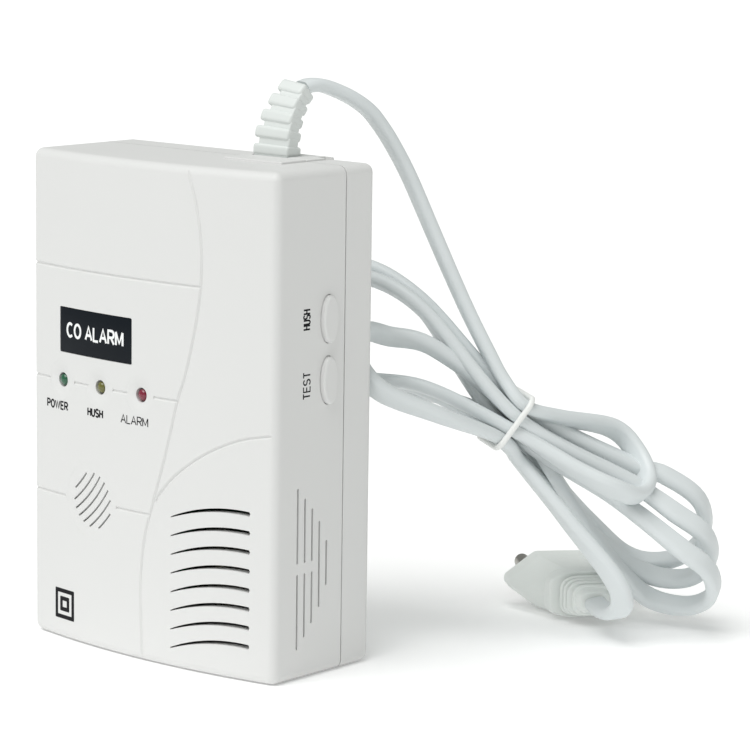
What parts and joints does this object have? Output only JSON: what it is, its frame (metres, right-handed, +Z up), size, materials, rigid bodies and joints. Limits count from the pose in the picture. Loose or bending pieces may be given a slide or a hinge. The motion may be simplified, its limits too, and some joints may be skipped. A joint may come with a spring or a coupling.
{
  "type": "carbon monoxide detector",
  "caption": "Slim upright mains carbon monoxide alarm with status lamps, vents, sounder grille, side push buttons and a flat cord tied in a hank.",
  "frame": {"origin": "middle of the flat underside of the case, where it stands", "axes": "+Z up the case, front face towards -Y, push buttons on the +X side, wall face towards +Y"},
  "size_m": [0.1354, 0.1383, 0.1368],
  "materials": {
    "case_abs": "fine matt texture",
    "lead_pvc": "satin",
    "label_film": "gloss",
    "led_green": "clear tinted",
    "led_amber": "clear tinted",
    "led_red": "clear tinted",
    "nylon_white": "matt",
    "board_laminate": "solder resist",
    "steel_zinc": "zinc plated",
    "black_plastic": "matt",
    "sensor_can": "nickel plated",
    "core_steel": "varnished laminations",
    "coil_tape": "tape",
    "sleeve_blue": "gloss",
    "film_yellow": "matt",
    "fuse_glass": "gloss",
    "clip_brass": "plated",
    "terminal_green": "matt",
    "wire_brown": "satin",
    "wire_blue": "satin",
    "pin_nickel": "nickel plated"
  },
  "bodies": {
    "case": {"front_cover": "case_abs", "rear_cover": "case_abs", "label_plate": "label_film", "led_power": "led_green", "led_hush": "led_amber", "led_alarm": "led_red", "led_power_spacer": "nylon_white", "led_hush_spacer": "nylon_white", "led_alarm_spacer": "nylon_white", "cord_tie": "nylon_white", "main_board": "board_laminate", "board_screw_1": "steel_zinc", "board_screw_2": "steel_zinc", "board_screw_3": "steel_zinc", "board_screw_4": "steel_zinc", "case_screw_1": "steel_zinc", "case_screw_2": "steel_zinc", "case_screw_3": "steel_zinc", "case_screw_4": "steel_zinc", "timing_crystal": "steel_zinc", "buzzer_body": "black_plastic", "sensor_base": "black_plastic", "controller_chip": "black_plastic", "amplifier_chip": "black_plastic", "voltage_regulator": "black_plastic", "hush_switch": "black_plastic", "test_switch": "black_plastic", "plug_sleeve_1": "black_plastic", "plug_sleeve_2": "black_plastic", "sensor_cell": "sensor_can", "transformer_core": "core_steel", "transformer_coil": "coil_tape", "capacitor_main": "sleeve_blue", "capacitor_small": "sleeve_blue", "varistor": "sleeve_blue", "film_capacitor": "film_yellow", "fuse": "fuse_glass", "fuse_clip_1": "clip_brass", "fuse_clip_2": "clip_brass", "terminal_block": "terminal_green", "wire_live": "wire_brown", "wire_neutral": "wire_blue", "strain_relief": "lead_pvc", "lead_upper": "lead_pvc", "lead_tail": "lead_pvc", "cord_hank": "lead_pvc", "plug_body": "lead_pvc", "plug_pin_1": "pin_nickel", "plug_pin_2": "pin_nickel"},
    "hush_button": {"hush_button": "case_abs", "hush_plunger": "black_plastic"},
    "test_button": {"test_button": "case_abs", "test_plunger": "black_plastic"}
  },
  "joints": [
    {"name": "hush_press", "type": "slide", "parent": "case", "child": "hush_button", "axis": [-1, 0, 0], "range_m": [0, 0.0008], "stiffness_N_per_m": 900, "springref_m": -0.0004},
    {"name": "test_press", "type": "slide", "parent": "case", "child": "test_button", "axis": [-1, 0, 0], "range_m": [0, 0.0008], "stiffness_N_per_m": 900, "springref_m": -0.0004}
  ]
}
